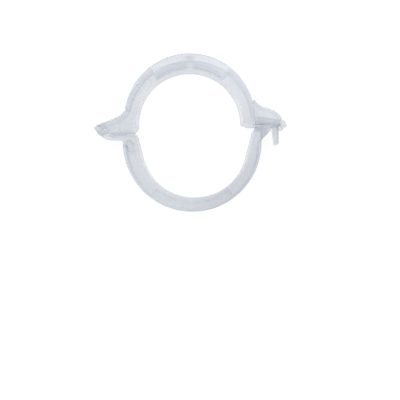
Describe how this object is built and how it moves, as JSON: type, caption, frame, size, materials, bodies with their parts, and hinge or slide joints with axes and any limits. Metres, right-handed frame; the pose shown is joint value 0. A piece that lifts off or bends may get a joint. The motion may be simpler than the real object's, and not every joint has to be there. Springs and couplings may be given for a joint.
{
  "type": "cheek retractor",
  "caption": "Clear plastic mouth-opening ring in two channel-section halves, joined by a folding strap on one side and a snap latch with release lever on the other.",
  "frame": {"origin": "centre of the closed ring's footprint, on the face that it rests on", "axes": "+Z along the axis of the opening, out of the front face; +Y towards the top of the upper half; -X towards the folding strap and +X towards the snap latch"},
  "size_m": [0.0965, 0.0793, 0.012],
  "materials": {
    "clear_plastic": "clear, slightly milky, smooth moulded",
    "hinge_film": "clear thin film, flexible"
  },
  "bodies": {
    "lower_half": {"lower_inner_wall": "clear_plastic", "lower_rear_flange": "clear_plastic", "lower_front_flange": "clear_plastic", "lower_center_rib": "clear_plastic", "lower_hinge_arm_core": "clear_plastic", "lower_latch_arm_core": "clear_plastic", "lower_hinge_leaf": "clear_plastic", "tab_rests": "clear_plastic"},
    "hinge_film": {"hinge_film": "hinge_film"},
    "upper_half": {"upper_inner_wall": "clear_plastic", "upper_rear_flange": "clear_plastic", "upper_front_flange": "clear_plastic", "upper_center_rib": "clear_plastic", "upper_hinge_arm_core": "clear_plastic", "upper_latch_arm_core": "clear_plastic", "upper_hinge_leaf": "clear_plastic", "keeper_tab": "clear_plastic", "keeper_end_lip": "clear_plastic"},
    "latch": {"latch_stem": "clear_plastic", "latch_hook": "clear_plastic", "release_lever": "clear_plastic"}
  },
  "joints": [
    {"name": "strap_fold", "type": "hinge", "parent": "lower_half", "child": "hinge_film", "pos_m": [-0.04715, 0.0009, 0.006], "axis": [0, 0, 1], "range_deg": [0, 90]},
    {"name": "upper_swing", "type": "hinge", "parent": "hinge_film", "child": "upper_half", "pos_m": [-0.04715, 0.0033, 0.006], "axis": [0, 0, 1], "range_deg": [0, 90]},
    {"name": "latch_flex", "type": "hinge", "parent": "lower_half", "child": "latch", "pos_m": [0.0347, 0.0016, 0.006], "axis": [0, 0, 1], "range_deg": [0, 5], "stiffness_Nm_per_rad": 0.05}
  ],
  "couplings": [
    {"joint": "strap_fold", "follows": "upper_swing", "ratio": 1}
  ]
}
